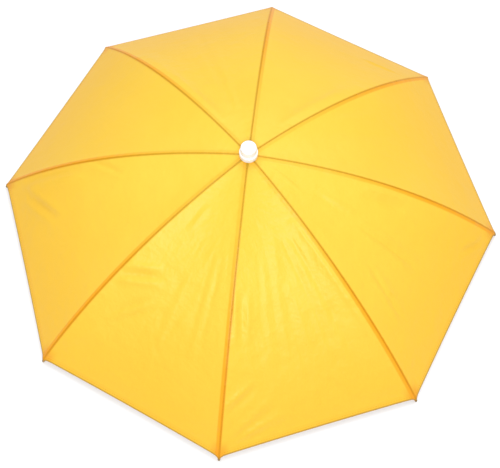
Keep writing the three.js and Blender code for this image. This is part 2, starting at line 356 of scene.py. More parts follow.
def moulded(name, colour, shade, roughness, coat):
    """Moulded plastic with a fine grain."""
    finish = Finish(name)
    soft = finish.noise(45.0, 3.0)
    grain = finish.noise(900.0, 2.0)
    tint = finish.mix(soft * 0.3, linear(colour), linear(shade))
    normal = finish.bump(grain, 0.02 * MM, 0.3, finish.bump(soft, 0.15 * MM, 0.3))
    return finish.close(finish.surface(
        Base_Color=tint, Roughness=roughness + soft * 0.12, Normal=normal, Coat_Weight=coat,
        Coat_Roughness=0.12,
    ))


def metal(name, bright, dull, roughness):
    """Metal with faint clouds and drawn scratches."""
    finish = Finish(name)
    clouds = finish.noise(70.0, 4.0, 0.6)
    scratches = finish.noise(260.0, 3.0, 0.6, finish.stretched(finish.place(), (1.0, 1.0, 0.15)))
    tint = finish.mix(clouds.below(0.4, 0.15) * 0.4, linear(bright), linear(dull))
    normal = finish.bump(scratches, 0.015 * MM, 0.3)
    return finish.close(finish.surface(
        Base_Color=tint, Metallic=1.0, Roughness=roughness + clouds * 0.12, Normal=normal,
    ))


def thread(name, colour, shade):
    """Sewing thread, matt and twisted."""
    finish = Finish(name)
    ply = finish.noise(1600.0, 2.0)
    tint = finish.mix(ply, linear(colour), linear(shade))
    return finish.close(finish.surface(
        Base_Color=tint, Roughness=0.6, Normal=finish.bump(ply, 0.05 * MM, 0.6), Specular_IOR_Level=0.15,
    ))


def elastic():
    """The headband's elastic: soft, matt, slightly furry, with a low cord every pitch."""
    finish = Finish("woven_elastic")
    along, up = finish.uv("tape")
    weave = woven(along, up, 0.7 * MM)
    fuzz = finish.noise(1100.0, 3.0, 0.6)
    soft = finish.noise(26.0, 3.0)
    cord = (up * (2 * math.pi / ELASTIC_PITCH)).sine() * 0.5 + 0.5
    tint = finish.mix(cord * 0.35 + fuzz * 0.35, linear("#e3ded2"), linear("#fbf9f3"))
    worn = finish.mix(soft.below(0.42, 0.1) * 0.35, tint, linear("#d8d0c0"))
    normal = finish.bump(weave + fuzz, 0.1 * MM, 0.7)
    return finish.close(finish.surface(
        Base_Color=worn, Roughness=0.85, Normal=normal, Sheen_Weight=0.35, Sheen_Roughness=0.5,
    ))


NYLON = nylon()
CAP_PLASTIC = moulded("cap_gloss", "#f9fbff", "#eff1f6", 0.25, 0.3)
FRAME_PLASTIC = moulded("frame_satin", "#f2efe8", "#efe9e2", 0.42, 0.0)
PLATED_STEEL = metal("plated_steel", "#c9cccf", "#96999d", 0.2)
TIP_METAL = metal("dull_tip", "#a68a64", "#6f5f4a", 0.34)
YELLOW_THREAD = thread("yellow_thread", "#e6a900", "#cb8f00")
WHITE_THREAD = thread("white_thread", "#f3efe6", "#cfc8b8")
ELASTIC = elastic()


# Meshes
def in_scene(name, data):
    """A new object of the scene, for a mesh, a light or a camera."""
    item = bpy.data.objects.new(name, data)
    bpy.context.scene.collection.objects.link(item)
    return item


def new_piece(name, vertices, faces, edges=()):
    mesh = bpy.data.meshes.new(name)
    mesh.from_pydata([tuple(v) for v in vertices], edges, faces)
    mesh.update()
    return in_scene(name, mesh)


def finished(piece, material, slot, *nodes, sharp=35):
    """Gives a piece its material and body, and hides the CAD nodes that it stands for; slot is not used."""
    piece.data.materials.clear()
    piece.data.materials.append(material)
    piece.data.shade_smooth()
    piece.data.set_sharp_from_angle(angle=math.radians(sharp))
    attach(piece, BODY)
    if nodes:
        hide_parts(*nodes)
    return piece


def mesh_of(name, work):
    """A BMesh as a plain mesh; the BMesh is freed."""
    mesh = bpy.data.meshes.new(name)
    work.to_mesh(mesh)
    work.free()
    return mesh


def baked(source, name):
    """The evaluated shape of an object as a plain mesh, in place of the object."""
    depsgraph = bpy.context.evaluated_depsgraph_get()
    mesh = bpy.data.meshes.new_from_object(source.evaluated_get(depsgraph), depsgraph=depsgraph)
    bpy.data.objects.remove(source)
    mesh.name = name
    return in_scene(name, mesh)


def numbered(stem):
    return [f"{stem}_{number}" for number in RIB_NAMES]


# The canopy
# How far the cloth is drawn out to each tip, over what width, and from what reach on
CORNER_DRAW = 1.6 * MM
CORNER_WIDTH = 3.5 * MM
CORNER_START = 285 * MM
GROOVE_DEPTH = 0.45 * MM
GROOVE_WIDTH = 0.7 * MM
# How high the doubled cloth beside a seam stands, and how far from the seam it starts to end
WELT_HEIGHT = 0.22 * MM
ALLOWANCE_START = 4.2 * MM
PUCKER_HEIGHT = 0.16 * MM
PUCKER_PITCH = 9 * MM
PUCKER_WIDTH = 7 * MM
# What is added to the cloth's thickness where it is turned in and where it is sewn flat, as shares of it
TURNED_IN = 0.9
SEWN_FLAT = 0.8
# Columns of points beside a seam, each at the lesser of (millimetres, share of the half width) from it
SEAM_STEPS = ((0.5, 0.008), (1.0, 0.018), (1.8, 0.032), (3.4, 0.048), (5.2, 0.066))
# The steps between the seams of gore_1 to gore_8: more where the cloth is creased
GORE_STEPS = (22, 20, 26, 20, 44, 66, 68, 46)
ROWS = 118
# More rows near the hem, in millimetres in from the cloth's corners
HEM_ROWS = (1.2, 3.0, 5.2, 6.6)
# Places in a point's measures
RIGHT_AWAY, REACH, HEM_AWAY, HOW_CREASED = 1, 3, 4, 5
# How crumpled each gore's cloth is between its folds
CREASED = (0.25, 0.25, 0.45, 0.15, 0.5, 0.8, 1.0, 0.7)
# How many small creases a gore has where CREASED is 1; the seed and the gore's number place them
MOST_CREASES = 20
CREASE_SEED = 40
# A crease's slant is how far it moves across while it runs out by this share
SLANT_RUN = 0.1
# A fold's crest is rounded over this, and its height falls to about a third at this share of its width
CREST = 1.0 * MM
FOLD_FALL = 0.36
# Along a fold its height follows half a turn of a sine, and the fold's ends lie this share of it in
TAPER_INSET = 0.1
TAPER_POWER = 0.8
# How much longer the cloth is along its slope than its reach in plan
GORE_SLOPE = 1.14

# Groups of folds in the cloth. Each runs from one place to another, given in twentieths: shares across
# the gore, -1 at its lower-numbered rib and 1 at the next, and out to the tips. The folds of a group lie
# side by side, a width apart where they start and opening times as far where they end. Ridges and
# furrows take turns, and a group with a height below 0 starts with a furrow. A fold has all but died
# away at its width from its line. Widths and heights are in millimetres.
FOLD_GROUPS = (
    # gore, from_side, from_out, to_side, to_out, folds, opening, width, height
    (1, 0.70, 0.40, 0.60, 0.60, 2, 1.0, 8, -1.5),
    (1, 0.30, 0.35, 0.05, 0.60, 1, 1.0, 5, -1.0),
    (2, -0.50, 0.20, -0.80, 0.60, 1, 1.0, 14, 3.0),
    (2, -0.40, 0.85, -0.80, 0.85, 2, 1.0, 5, 1.5),
    (3, 0.60, 0.20, 0.85, 0.75, 1, 1.0, 12, 3.0),
    (3, -0.05, 0.25, 0.00, 0.85, 3, 2.0, 5, 1.5),
    (4, -0.30, 0.80, -0.35, 0.95, 1, 1.0, 10, 1.0),
    (5, -0.95, 0.60, -0.65, 0.50, 2, 1.0, 6, -2.5),
    (5, -0.85, 0.65, -0.90, 0.90, 2, 1.0, 10, 3.5),
    (5, -0.75, 0.90, -0.35, 0.80, 3, 1.0, 8, 3.0),
    (6, -0.95, 0.60, -0.40, 0.55, 3, 1.0, 9, 3.0),
    (6, -0.65, 0.75, -0.30, 0.65, 3, 1.0, 6, -2.0),
    (6, -0.50, 0.25, -0.50, 0.35, 2, 1.0, 6, 1.0),
    (6, 0.50, 0.40, 0.50, 0.75, 3, 1.5, 5, -0.7),
    (6, 0.00, 0.50, 0.00, 0.80, 2, 1.5, 7, 0.8),
    (6, -0.70, 0.80, -0.90, 0.90, 1, 1.0, 12, 1.5),
    (6, -0.05, 0.75, 0.05, 0.80, 2, 1.0, 5, -1.0),
    (7, -0.85, 0.50, -0.80, 0.65, 3, 1.0, 7, 2.0),
    (7, -0.30, 0.40, -0.35, 0.75, 4, 2.0, 5, 0.7),
    (7, 0.05, 0.30, -0.10, 0.50, 1, 1.0, 11, 1.2),
    (7, 0.35, 0.35, 0.50, 0.85, 3, 2.0, 5, -1.0),
    (7, 0.75, 0.30, 0.90, 0.80, 1, 1.0, 13, 3.0),
    (7, -0.95, 0.85, -0.65, 0.80, 2, 1.0, 8, 2.5),
    (7, -0.85, 0.95, -0.40, 0.90, 4, 2.5, 4, 1.6),
    (7, 0.00, 0.50, 0.05, 0.75, 2, 1.5, 7, 0.8),
    (8, 0.00, 0.10, -0.20, 0.25, 1, 1.0, 5, 1.2),
    (8, 0.10, 0.30, 0.10, 0.45, 2, 1.5, 5, 1.6),
    (8, 0.00, 0.50, 0.05, 0.75, 3, 1.5, 5, 2.0),
    (8, 0.70, 0.45, 0.75, 0.60, 2, 1.0, 10, 3.0),
    (8, -0.45, 0.60, -0.60, 0.80, 3, 1.0, 5, 2.0),
    (8, 0.60, 0.90, 0.80, 0.95, 3, 1.0, 5, 2.0),
)
FURROW_SHARE = -0.7


def gore_columns(steps):
    """Places across one gore from its left seam: (millimetres in, share in) from a seam, then shares."""
    inner = SEAM_STEPS[-1][1]
    columns = [("seam", 0.0, 0.0)] + [("left", step * MM, share) for step, share in SEAM_STEPS]
    for step in range(1, steps):
        columns.append(("middle", 0.0, inner + (2 - 2 * inner) * step / steps))
    columns += [("right", step * MM, share) for step, share in reversed(SEAM_STEPS)]
    return columns


def small_creases(gore):
    """Short creases scattered over a gore as rows of folds, most of them running out from the crown."""
    random = np.random.default_rng(CREASE_SEED + gore)
    rows = []
    for _ in range(int(MOST_CREASES * CREASED[gore - 1])):
        out, side = random.uniform(0.3, 0.93), random.uniform(-0.85, 0.85)
        long, slant = random.uniform(0.05, 0.2), random.normal(0, 0.1)
        end = min(out + long, 0.97)
        height = random.choice((-1, 1)) * random.uniform(0.2, 0.65)
        end_side = side + slant * long / SLANT_RUN
        rows.append((side, out, end_side, end, 1, 1.0, random.uniform(2.5, 5), height))
    return rows


def on_cloth(side, out):
    """A place given in shares, in metres across a gore's middle line and out over its slope."""
    return np.array([side * out * math.sin(HALF_ANGLE), out * GORE_SLOPE]) * TIP_REACH


def single_folds(gore):
    """Each fold of a gore: where it starts and ends on the cloth, its width and its height."""
    groups = [row[1:] for row in FOLD_GROUPS if row[0] == gore] + small_creases(gore)
    for from_side, from_out, to_side, to_out, folds, opening, width, height in groups:
        start, end = on_cloth(from_side, from_out), on_cloth(to_side, to_out)
        run = (end - start) / np.linalg.norm(end - start)
        beside = np.array([-run[1], run[0]]) * width * MM
        for fold in range(folds):
            place = fold - (folds - 1) / 2
            share = 1 if fold % 2 == 0 else FURROW_SHARE
            yield start + beside * place, end + beside * place * opening, width * MM, height * MM * share


def fold_height(gore, across, out, half_width):
    """How far the folds lift the cloth at each point of a gore."""
    total = np.zeros_like(across)
    lateral, over = across * half_width, out * GORE_SLOPE
    for start, end, width, height in single_folds(gore):
        run = end - start
        share = ((lateral - start[0]) * run[0] + (over - start[1]) * run[1]) / (run @ run)
        held = np.clip(share, 0, 1)
        off_line = np.hypot(lateral - start[0] - held * run[0], over - start[1] - held * run[1])
        rounded = np.clip(share * (1 - 2 * TAPER_INSET) + TAPER_INSET, 0, 1)
        taper = np.sin(np.pi * rounded) ** TAPER_POWER
        crest = np.sqrt(off_line ** 2 + CREST ** 2) - CREST
        total += height * taper * np.exp(-crest / (width * FOLD_FALL))
    edge = smooth(half_width - np.abs(lateral), 0.5 * MM, 3.5 * MM)
    return total * edge


# The column of points that lies on the first seam of each gore
SEAM_COLUMNS = [sum(GORE_STEPS[:gore]) + 2 * len(SEAM_STEPS) * gore for gore in range(RIBS)]


def places_across(kind, inset, share, width):
    """Where a column's points lie across their gore, as shares from -1 at one rib to 1 at the next."""
    if kind == "middle":
        return np.full_like(width, share - 1)
    away = np.minimum(inset, share * width)
    return (1 if kind == "right" else -1) * (1 - away / width)


def hem_reach(straight_reach, across, width):
    """Reaches of a column's points: the hem curves in between the tips and is drawn out to each tip."""
    scallop = HEM_SCALLOP * (1 - across ** 2) * (straight_reach / CORNER_REACH) ** 4
    corner_away = width * (1 - np.abs(across))
    drawn = np.exp(-(corner_away / CORNER_WIDTH) ** 2) * smooth(straight_reach, CORNER_START, CORNER_REACH)
    return straight_reach - scallop + CORNER_DRAW * drawn


def seam_relief(gore, reach, across, half_width, hem_away):
    """How far the seams lift the cloth: a groove along each, doubled cloth before it, and puckers."""
    next_away = half_width * (1 - across)
    seam_away = np.minimum(half_width * (1 + across), next_away)
    groove = -GROOVE_DEPTH * np.exp(-(seam_away / GROOVE_WIDTH) ** 2)
    welt = WELT_HEIGHT * (1 - smooth(next_away, ALLOWANCE_START, 5.4 * MM))
    pucker = PUCKER_HEIGHT * np.cos(2 * math.pi * reach / PUCKER_PITCH + gore)
    pucker = pucker * np.exp(-(seam_away / PUCKER_WIDTH) ** 2) * smooth(seam_away, 0, 2 * MM)
    seam = groove + welt * smooth(seam_away, 0.3 * MM, 1.2 * MM)
    return seam * smooth(hem_away, 0, 4 * MM) + pucker


def canopy_surface():
    """Points and measures of the canopy's top, in columns of rows out from the hole."""
    straight_reach = np.linspace(HOLE_REACH, CORNER_REACH, ROWS + 1)
    hem_rows = CORNER_REACH - np.array(HEM_ROWS) * MM
    straight_reach = np.unique(np.concatenate([straight_reach, hem_rows]))
    width = straight_reach * math.sin(HALF_ANGLE)
    hem_away = CORNER_REACH - straight_reach
    points, measures = [], []
    for gore in range(1, RIBS + 1):
        turn = HALF_ANGLE * (2 * gore - 1)
        for kind, inset, share in gore_columns(GORE_STEPS[gore - 1]):
            across = places_across(kind, inset, share, width)
            reach = hem_reach(straight_reach, across, width)
            height, fall = seam_shape(reach)
            tilt = np.arctan(fall / math.cos(HALF_ANGLE))
            half_width = reach * math.sin(HALF_ANGLE)
            sag = SLACK * SLACK_SHARES[gore - 1] * (1 - across ** 2) * np.sin(math.pi * reach / TIP_REACH)
            relief = seam_relief(gore, reach, across, half_width, hem_away)
            lift = relief + fold_height(gore, across, reach, half_width) - sag
            x = reach * math.cos(HALF_ANGLE) + lift * np.sin(tilt)
            y = across * (reach * math.cos(HALF_ANGLE) - sag * np.sin(tilt)) * math.tan(HALF_ANGLE)
            z = SEAM_FOOT + height + lift * np.cos(tilt)
            turned_x = x * math.cos(turn) - y * math.sin(turn)
            turned_y = x * math.sin(turn) + y * math.cos(turn)
            points.append(np.stack([turned_x, turned_y, z]).T)
            creased = np.full_like(y, CREASED[gore - 1])
            left_away, right_away = half_width * (1 + across), half_width * (1 - across)
            measures.append(np.stack([left_away, right_away, y, reach, hem_away, creased]).T)
    return np.array(points), np.array(measures)


def corner_measures(measures, column, row, over):
    """A corner's seam distances and its place on the cloth, read from the gore that the face is in."""
    place = (column + over) % len(measures)
    left_away, right_away, across, reach = measures[place, row, :4]
    if over and place in SEAM_COLUMNS:
        half = reach * math.sin(HALF_ANGLE)
        return 2 * half, 0.0, half, reach
    return left_away, right_away, across, reach


def canopy_faces(measures):
    """Faces of the top, the underside, the hem's edge and the hole, with the measures at their corners."""
    columns, rows = measures.shape[:2]
    under, rim, last = columns * rows, 2 * columns * rows, rows - 1
    faces, corners = [], []
    for column in range(columns):
        beside = (column + 1) % columns
        here, there = column * rows, beside * rows
        for row in range(last):
            quad = (here + row, here + row + 1, there + row + 1, there + row)
            steps = ((0, 0), (0, 1), (1, 1), (1, 0))
            readings = [corner_measures(measures, column, row + out, over) for over, out in steps]
            faces += [quad, tuple(under + place for place in reversed(quad))]
            corners += [readings, readings[::-1]]
        readings = [corner_measures(measures, column, last, over) for over in (0, 0, 1, 1)]
        faces.append((here + last, rim + column, rim + beside, there + last))
        faces.append((rim + column, under + here + last, under + there + last, rim + beside))
        corners += [readings, readings]
        faces.append((here, there, under + there, under + here))
        corners.append([corner_measures(measures, column, 0, over) for over in (0, 1, 1, 0)])
    return faces, corners


def canopy():
    """The canopy as one sheet, thicker where it is turned in at its hem and sewn flat at its seams."""
    top, measures = canopy_surface()
    onward = np.roll(top, -1, axis=0) - np.roll(top, 1, axis=0)
    outward = np.gradient(top, axis=1)
    normals = np.cross(outward, onward)
    normals /= np.linalg.norm(normals, axis=2, keepdims=True)
    hem_away, right_away = measures[:, :, HEM_AWAY], measures[:, :, RIGHT_AWAY]
    turned_in = TURNED_IN * (1 - smooth(hem_away, HEM_WIDTH - 0.5 * MM, HEM_WIDTH + 0.5 * MM))
    sewn_flat = SEWN_FLAT * (1 - smooth(right_away, ALLOWANCE_START, 5.2 * MM))
    thickness = CLOTH * (1 + np.maximum(turned_in, sewn_flat))
    under = top - normals * thickness[:, :, None]
    hem_out = outward[:, -1] / np.linalg.norm(outward[:, -1], axis=1, keepdims=True)
    rim = (top[:, -1] + under[:, -1]) / 2 + hem_out * thickness[:, -1:] / 2
    faces, corners = canopy_faces(measures)
    piece = new_piece("canopy", np.concatenate([top.reshape(-1, 3), under.reshape(-1, 3), rim]), faces)
    mesh = piece.data
    readings = np.array([reading for face in corners for reading in face])
    for name, first in (("seam_distance", 0), ("cloth", 2)):
        uvs = mesh.uv_layers.new(name=name)
        uvs.data.foreach_set("uv", readings[:, first:first + 2].reshape(-1))
    for name, index in (("reach", REACH), ("hem_distance", HEM_AWAY), ("creased", HOW_CREASED)):
        values = measures[:, :, index].reshape(-1)
        attribute = mesh.attributes.new(name, "FLOAT", "POINT")
        attribute.data.foreach_set("value", np.concatenate([values, values, measures[:, -1, index]]))
    return piece, top


canopy_piece, canopy_top = canopy()
finished(canopy_piece, NYLON, "canopy_cloth", *numbered("gore"), sharp=70)


# Trees of geometry nodes
def modelled(name, paths, tree, sizes, material, slot, *nodes):
    """A finished piece that a geometry tree makes from polylines, each (points, whether it is closed)."""
    vertices, edges = [], []
    for path, closed in paths:
        start = len(vertices)
        vertices += path
        edges += [(start + i, start + i + 1) for i in range(len(path) - 1)]
        if closed:
            edges.append((start + len(path) - 1, start))
    source = new_piece(name, vertices, [], edges)
    modifier = source.modifiers.new(name, "NODES")
    modifier.node_group = tree
    sockets = {item.name: item.identifier for item in tree.interface.items_tree if item.in_out == "INPUT"}
    for key, value in {**sizes, "Finish": material}.items():
        modifier[sockets[key]] = value
    return finished(baked(source, name), material, slot, *nodes)


def geometry_tree(name, sizes):
    """A new geometry tree with named sizes, its maker, and its inputs as signals."""
    tree = bpy.data.node_groups.new(name, "GeometryNodeTree")
    tree.interface.new_socket("Paths", in_out="INPUT", socket_type="NodeSocketGeometry")
    for size, default in sizes.items():
        kind = "NodeSocketInt" if isinstance(default, int) else "NodeSocketFloat"
        tree.interface.new_socket(size, in_out="INPUT", socket_type=kind).default_value = default
    tree.interface.new_socket("Finish", in_out="INPUT", socket_type="NodeSocketMaterial")
    tree.interface.new_socket("Geometry", in_out="OUTPUT", socket_type="NodeSocketGeometry")
    maker = NodeMaker(tree)
    group = tree.nodes.new("NodeGroupInput")
    inputs = {socket.name: Signal(maker, socket) for socket in group.outputs if socket.name}
    return tree, maker, inputs


def end_tree(maker, shape, inputs):
    """Joins up the instances, gives them their material and ends the tree."""
    real = maker.add("GeometryNodeRealizeInstances", None, {"Geometry": shape})
    dressed = maker.add("GeometryNodeSetMaterial", None, {"Geometry": real, "Material": inputs["Finish"]})
    maker.add("NodeGroupOutput", None, {"Geometry": dressed})


def wire_tree():
    """A round tube along each path."""
    tree, maker, inputs = geometry_tree("round_wire", {"Radius": 1 * MM, "Sides": WIRE_SIDES})
    curve = maker.add("GeometryNodeMeshToCurve", None, {"Mesh": inputs["Paths"]})
    section = maker.add("GeometryNodeCurvePrimitiveCircle", None,
                        {"Resolution": inputs["Sides"], "Radius": inputs["Radius"]})
    tube = maker.add("GeometryNodeCurveToMesh", None,
                     {"Curve": curve, "Profile Curve": section, "Fill Caps": True})
    end_tree(maker, tube, inputs)
    return tree


def stitch_tree():
    """A row of long round stitches along each path."""
    sizes = {"Spacing": 3 * MM, "Stitch length": 2.2 * MM, "Thickness": 0.4 * MM}
    tree, maker, inputs = geometry_tree("stitch_row", sizes)
    curve = maker.add("GeometryNodeMeshToCurve", None, {"Mesh": inputs["Paths"]})
    points = tree.nodes.new("GeometryNodeCurveToPoints")
    points.mode = "LENGTH"
    maker.feed(points.inputs["Curve"], curve)
    maker.feed(points.inputs["Length"], inputs["Spacing"])
    places = Signal(maker, points.outputs["Points"])
    tangent = Signal(maker, points.outputs["Tangent"])
    facing = maker.add("FunctionNodeAlignRotationToVector", {"axis": "Z"}, {"Vector": tangent})
    ball = maker.add("GeometryNodeMeshUVSphere", None, {"Segments": 6, "Rings": 4, "Radius": 0.5}, "Mesh")
    size = maker.add("ShaderNodeCombineXYZ", None,
                     {"X": inputs["Thickness"], "Y": inputs["Thickness"], "Z": inputs["Stitch length"]})
    stitch = maker.add("GeometryNodeTransform", None, {"Geometry": ball, "Scale": size})
    row = maker.add("GeometryNodeInstanceOnPoints", None,
                    {"Points": places, "Instance": stitch, "Rotation": facing})
    end_tree(maker, row, inputs)
    return tree


ROUND_WIRE = wire_tree()
STITCH_ROW = stitch_tree()


# The wire frame
def steel_wires(name, line, radius, stem):
    """The same wire at every rib, from its middle line in the rib's plane."""
    paths = [([at_rib(rib, *point) for point in line], False) for rib in range(RIBS)]
    sizes = {"Radius": radius, "Sides": WIRE_SIDES}
    return modelled(name, paths, ROUND_WIRE, sizes, PLATED_STEEL, "frame_steel", *numbered(stem))


def rib_wires():
    line = [under_seam(reach) for reach in np.linspace(RIB_START, CORNER_REACH, 90)]
    return steel_wires("ribs", line, RIB_RADIUS, "rib")


def stretcher_wires():
    start = Vector((RUNNER_HIGH.x - WIRE_GRIP, (RUNNER_LOW.z + RUNNER_HIGH.z) / 2))
    end = in_clip(WIRE_GRIP - CLIP_LENGTH / 2, STRETCHER_SEAT)
    line = [start.lerp(end, share) for share in np.linspace(0, 1, 12)]
    return steel_wires("stretchers", line, WIRE_RADIUS, "stretcher")


def leg_wires():
    """Each leg stands in its sleeve and bends over the band towards its clip."""
    reach = BAND_OUTSIDE + WIRE_RADIUS
    foot = Vector((reach, BAND_HIGH - SLEEVE_DEPTH))
    knee = Vector((reach, BAND_HIGH + KNEE_RISE))
    top = in_clip(LEG_INSET, CLIP_DEPTH - WIRE_GRIP)
    below = knee - Vector((0, KNEE_LENGTH))
    above = knee + (top - knee).normalized() * KNEE_LENGTH
    bend = [below.lerp(knee, s).lerp(knee.lerp(above, s), s) for s in np.linspace(0, 1, 9)]
    line = [foot.lerp(below, s) for s in np.linspace(0, 1, 6)[:-1]] + bend
    line += [above.lerp(top, s) for s in np.linspace(0, 1, 10)[1:]]
    return steel_wires("band_legs", line, WIRE_RADIUS, "band_leg")


def turned(name, profile, sides=96):
    """A profile of (radius, height) corners turned about Z into a closed body."""
    work = bmesh.new()
    verts = [work.verts.new((radius, 0, height)) for radius, height in profile]
    edges = [work.edges.new(pair) for pair in zip(verts, verts[1:])]
    bmesh.ops.spin(work, geom=verts + edges, cent=(0, 0, 0), axis=(0, 0, 1), angle=2 * math.pi,
                   steps=sides, use_merge=True, use_duplicate=False)
    bmesh.ops.remove_doubles(work, verts=work.verts, dist=MERGE)
    bmesh.ops.recalc_face_normals(work, faces=work.faces)
    return in_scene(name, mesh_of(name, work))


def arc(centre, radius, start, end, steps):
    """Corners of an arc in a profile, from one angle to another in degrees."""
    angles = [math.radians(start + (end - start) * step / steps) for step in range(steps + 1)]
    return [(centre[0] + radius * math.cos(a), centre[1] + radius * math.sin(a)) for a in angles]


def cap_piece():
    """The finial cap: a skirt, a ledge, a barrel with a round shoulder, and a socket for the stub."""
    skirt, barrel, bore = 10 * MM, 8.5 * MM, STUB_RADIUS + SEAT_GAP
    lip, brow, brow_drop = 0.6 * MM, 0.9 * MM, 1.5 * MM
    shoulder, fillet, top_inset = 1.6 * MM, 0.8 * MM, 1.2 * MM
    ledge = CAP_FOOT + 7.5 * MM
    profile = [(0, CAP_TOP - CAP_ROOF), (bore, CAP_TOP - CAP_ROOF), (bore, CAP_FOOT)]
    profile += arc((skirt - lip, CAP_FOOT + lip), lip, -90, 0, 5)
    profile += arc((skirt - brow, ledge - brow_drop), brow, 0, 70, 6)
    profile += [(barrel + fillet * 0.35, ledge - fillet * 0.35)]
    profile += [(barrel, ledge + fillet)]
    profile += arc((barrel - shoulder, CAP_TOP - shoulder), shoulder, 0, 90, 10)
    profile += [(barrel - shoulder - top_inset, CAP_TOP), (0, CAP_TOP)]
    return finished(turned("finial_cap", profile), CAP_PLASTIC, "cap_plastic", "cap", sharp=50)


def rib_slots(radius):
    """Boxes to cut the ribs' slots out of a hub of the given radius, from above."""
    overrun, tall = 2 * MM, 6 * MM
    floor = under_seam(radius).y - RIB_RADIUS - SEAT_GAP
    length = radius - RIB_START + SEAT_GAP + overrun
    width = 2 * (RIB_RADIUS + SEAT_GAP)
    middle = Vector((RIB_START - SEAT_GAP + length / 2, 0, floor + tall / 2))
    work = bmesh.new()
    for rib in range(RIBS):
        turn = Matrix.Rotation(2 * HALF_ANGLE * rib, 4, "Z")
        shape = turn @ Matrix.Translation(middle) @ Matrix.Diagonal((length, width, tall, 1))
        bmesh.ops.create_cube(work, size=1.0, matrix=shape)
    return in_scene("slots", mesh_of("slots", work))


def hub_piece():
    radius, chamfer, bore_depth = 14 * MM, 1.5 * MM, 3 * MM
    stub_top = CAP_TOP - CAP_ROOF - SEAT_GAP
    bore_top = HUB_FOOT + bore_depth
    profile = [(0, bore_top), (SHAFT_BORE, bore_top), (SHAFT_BORE, HUB_FOOT), (radius - chamfer, HUB_FOOT)]
    profile += arc((radius - chamfer, HUB_FOOT + chamfer), chamfer, -90, 0, 6)[1:]
    profile += [(radius, HUB_TOP_EDGE), (STUB_RADIUS, HUB_TOP_EDGE), (STUB_RADIUS, stub_top), (0, stub_top)]
    body = turned("hub", profile, 64)
    cutter = rib_slots(radius)
    cut = body.modifiers.new("slots", "BOOLEAN")
    cut.operation = "DIFFERENCE"
    cut.solver = "EXACT"
    cut.object = cutter
    piece = baked(body, "crown_hub")
    bpy.data.objects.remove(cutter)
    return finished(piece, FRAME_PLASTIC, "frame_plastic", "top_hub", sharp=30)


def shaft_piece():
    stop, stop_height, round_edge = 7.5 * MM, 3 * MM, 0.8 * MM
    low, high = SHAFT_LOW.z, SHAFT_HIGH.z
    profile = [(0, low)] + arc((stop - round_edge, low + round_edge), round_edge, -90, 0, 4)
    profile += arc((stop - round_edge, low + stop_height - round_edge), round_edge, 0, 90, 4)
    profile += [(SHAFT_RADIUS, low + stop_height), (SHAFT_RADIUS, high), (0, high)]
    return finished(turned("post", profile, 48), PLATED_STEEL, "frame_steel", "shaft", sharp=40)


def runner_piece():
    low, high, radius = RUNNER_LOW.z, RUNNER_HIGH.z, RUNNER_HIGH.x
    edge, waist, waist_half, shoulder_half = 0.7 * MM, 0.9 * MM, 1.8 * MM, 2.4 * MM
    middle = (low + high) / 2
    profile = [(SHAFT_BORE, low)] + arc((radius - edge, low + edge), edge, -90, 0, 4)
    profile += [(radius, middle - shoulder_half), (radius - waist, middle - waist_half)]
    profile += [(radius - waist, middle + waist_half), (radius, middle + shoulder_half)]
    profile += arc((radius - edge, high - edge), edge, 0, 90, 4) + [(SHAFT_BORE, high), (SHAFT_BORE, low)]
    collar = turned("sliding_collar", profile, 64)
    return finished(collar, FRAME_PLASTIC, "frame_plastic", "runner", sharp=40)


def merged_copy(name, nodes):
    """The CAD nodes' own shapes as one mesh, with their loose triangles joined up."""
    work = bmesh.new()
    for node in nodes:
        work.from_mesh(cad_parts[node].data)
    bmesh.ops.remove_doubles(work, verts=work.verts, dist=MERGE)
    bmesh.ops.dissolve_limit(work, angle_limit=math.radians(1), verts=work.verts, edges=work.edges)
    return in_scene(name, mesh_of(name, work))


def clip_blocks():
    piece = merged_copy("rib_clips", numbered("clip"))
    bevel = piece.modifiers.new("rounded", "BEVEL")
    bevel.width = 0.35 * MM
    bevel.segments = 2
    bevel.limit_method = "ANGLE"
    bevel.angle_limit = math.radians(50)
    return finished(piece, FRAME_PLASTIC, "frame_plastic", *numbered("clip"), sharp=40)


def tip_pieces():
    """A sleeve over each rib's end with a round nose, cut flat at the floor that it stands on."""
    bore, sleeve = RIB_RADIUS + SEAT_GAP, SEAT_GAP + TIP_WALL
    round_edge, shoulder, neck = 0.2 * MM, 1.6 * MM, NOSE_RADIUS * 0.8
    profile = [(0, SEAT_GAP), (bore, SEAT_GAP), (bore, -TIP_SOCKET)]
    profile += arc((TIP_RADIUS - round_edge, -TIP_SOCKET + round_edge), round_edge, -90, 0, 3)
    profile += [(TIP_RADIUS, sleeve), (neck, sleeve + shoulder)]
    profile += arc((0, NOSE_LENGTH), NOSE_RADIUS, -52, 90, 12)[:-1] + [(0, NOSE_LENGTH + NOSE_RADIUS)]
    single = turned("tip", profile, 24)
    lie = Matrix.Rotation(math.pi / 2 + RIB_END_TILT, 4, "Y")
    work = bmesh.new()
    for rib in range(RIBS):
        copy = single.data.copy()
        turn = Matrix.Rotation(2 * HALF_ANGLE * rib, 4, "Z")
        copy.transform(Matrix.Translation(at_rib(rib, *RIB_END)) @ (turn @ lie))
        work.from_mesh(copy)
        bpy.data.meshes.remove(copy)
    bpy.data.objects.remove(single)
    cut = bmesh.ops.bisect_plane(work, geom=work.verts[:] + work.edges[:] + work.faces[:], dist=1e-7,
                                 plane_co=(0, 0, 0), plane_no=(0, 0, -1), clear_outer=True)
    loops = [item for item in cut["geom_cut"] if isinstance(item, bmesh.types.BMEdge)]
    bmesh.ops.holes_fill(work, edges=loops, sides=0)
    bmesh.ops.recalc_face_normals(work, faces=work.faces)
    piece = in_scene("rib_tips", mesh_of("rib_tips", work))
    return finished(piece, TIP_METAL, "tip_metal", *numbered("tip"), sharp=45)


rib_wires()
stretcher_wires()
leg_wires()
cap_piece()
hub_piece()
shaft_piece()
runner_piece()
clip_blocks()
tip_pieces()


